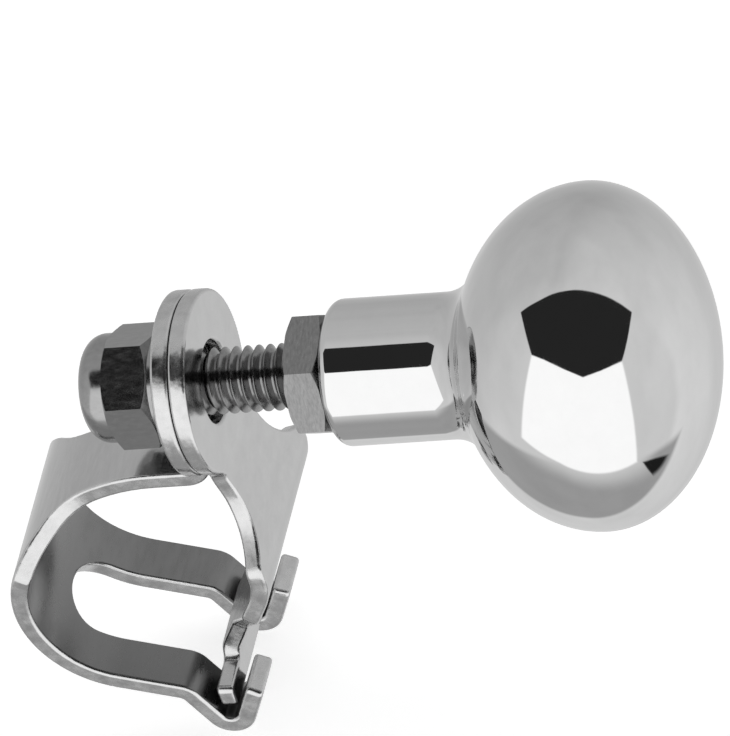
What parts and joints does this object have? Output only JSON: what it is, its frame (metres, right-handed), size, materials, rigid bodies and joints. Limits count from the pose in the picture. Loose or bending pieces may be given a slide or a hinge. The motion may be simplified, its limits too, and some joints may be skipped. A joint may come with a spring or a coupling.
{
  "type": "steering wheel spinner knob",
  "caption": "Polished metal spinner knob on a threaded stud, with a two-jaw sheet metal clamp that grips the rim of a steering wheel.",
  "frame": {"origin": "centre of the circle that the outer jaw wraps round, which is the axis of the wheel's rim tube", "axes": "+X along the stud from the clamp to the knob, +Y along the rim, +Z from the rim up to the stud"},
  "size_m": [0.092, 0.0412, 0.0676],
  "materials": {
    "jaw_sheet": "polished sheet",
    "nut_steel": "satin",
    "stud_steel": "turned and ground",
    "knob_polish": "mirror",
    "bearing_steel": "ground",
    "nylon": "moulded"
  },
  "bodies": {
    "clamp": {"outer_jaw": "jaw_sheet"},
    "inner_jaw": {"inner_jaw": "jaw_sheet"},
    "nut": {"lock_nut": "nut_steel", "nylon_insert": "nylon"},
    "stud": {"stud": "stud_steel", "bearing_washer": "bearing_steel", "inner_spacer": "bearing_steel", "circlip": "bearing_steel", "front_inner_ring": "bearing_steel", "rear_inner_ring": "bearing_steel"},
    "knob": {"knob": "knob_polish", "outer_spacer": "bearing_steel", "retaining_ring": "bearing_steel", "front_outer_ring": "bearing_steel", "rear_outer_ring": "bearing_steel", "front_near_shield": "bearing_steel", "front_far_shield": "bearing_steel", "rear_near_shield": "bearing_steel", "rear_far_shield": "bearing_steel"},
    "front_ball_set": {"front_cage": "bearing_steel", "front_ball_1": "bearing_steel", "front_ball_2": "bearing_steel", "front_ball_3": "bearing_steel", "front_ball_4": "bearing_steel", "front_ball_5": "bearing_steel", "front_ball_6": "bearing_steel", "front_ball_7": "bearing_steel"},
    "rear_ball_set": {"rear_cage": "bearing_steel", "rear_ball_1": "bearing_steel", "rear_ball_2": "bearing_steel", "rear_ball_3": "bearing_steel", "rear_ball_4": "bearing_steel", "rear_ball_5": "bearing_steel", "rear_ball_6": "bearing_steel", "rear_ball_7": "bearing_steel"}
  },
  "joints": [
    {"name": "clamp_open", "type": "hinge", "parent": "clamp", "child": "inner_jaw", "pos_m": [0.0083, 0, -0.0172], "axis": [0, 1, 0], "range_deg": [0, 3]},
    {"name": "nut_turn", "type": "hinge", "parent": "clamp", "child": "nut", "pos_m": [0.015, 0, 0.0258], "axis": [1, 0, 0], "range_deg": [0, 1990.9]},
    {"name": "stud_travel", "type": "slide", "parent": "clamp", "child": "stud", "axis": [-1, 0, 0], "range_m": [0, 0.0078]},
    {"name": "knob_spin", "type": "hinge", "parent": "stud", "child": "knob", "pos_m": [0.015, 0, 0.0258], "axis": [1, 0, 0], "continuous": true},
    {"name": "front_balls_roll", "type": "hinge", "parent": "stud", "child": "front_ball_set", "pos_m": [0.015, 0, 0.0258], "axis": [1, 0, 0], "continuous": true},
    {"name": "rear_balls_roll", "type": "hinge", "parent": "stud", "child": "rear_ball_set", "pos_m": [0.015, 0, 0.0258], "axis": [1, 0, 0], "continuous": true}
  ],
  "couplings": [
    {"joint": "nut_turn", "follows": "stud_travel", "rad_per_m": 4452.7},
    {"joint": "front_balls_roll", "follows": "knob_spin", "ratio": 0.5831},
    {"joint": "rear_balls_roll", "follows": "knob_spin", "ratio": 0.5831}
  ]
}
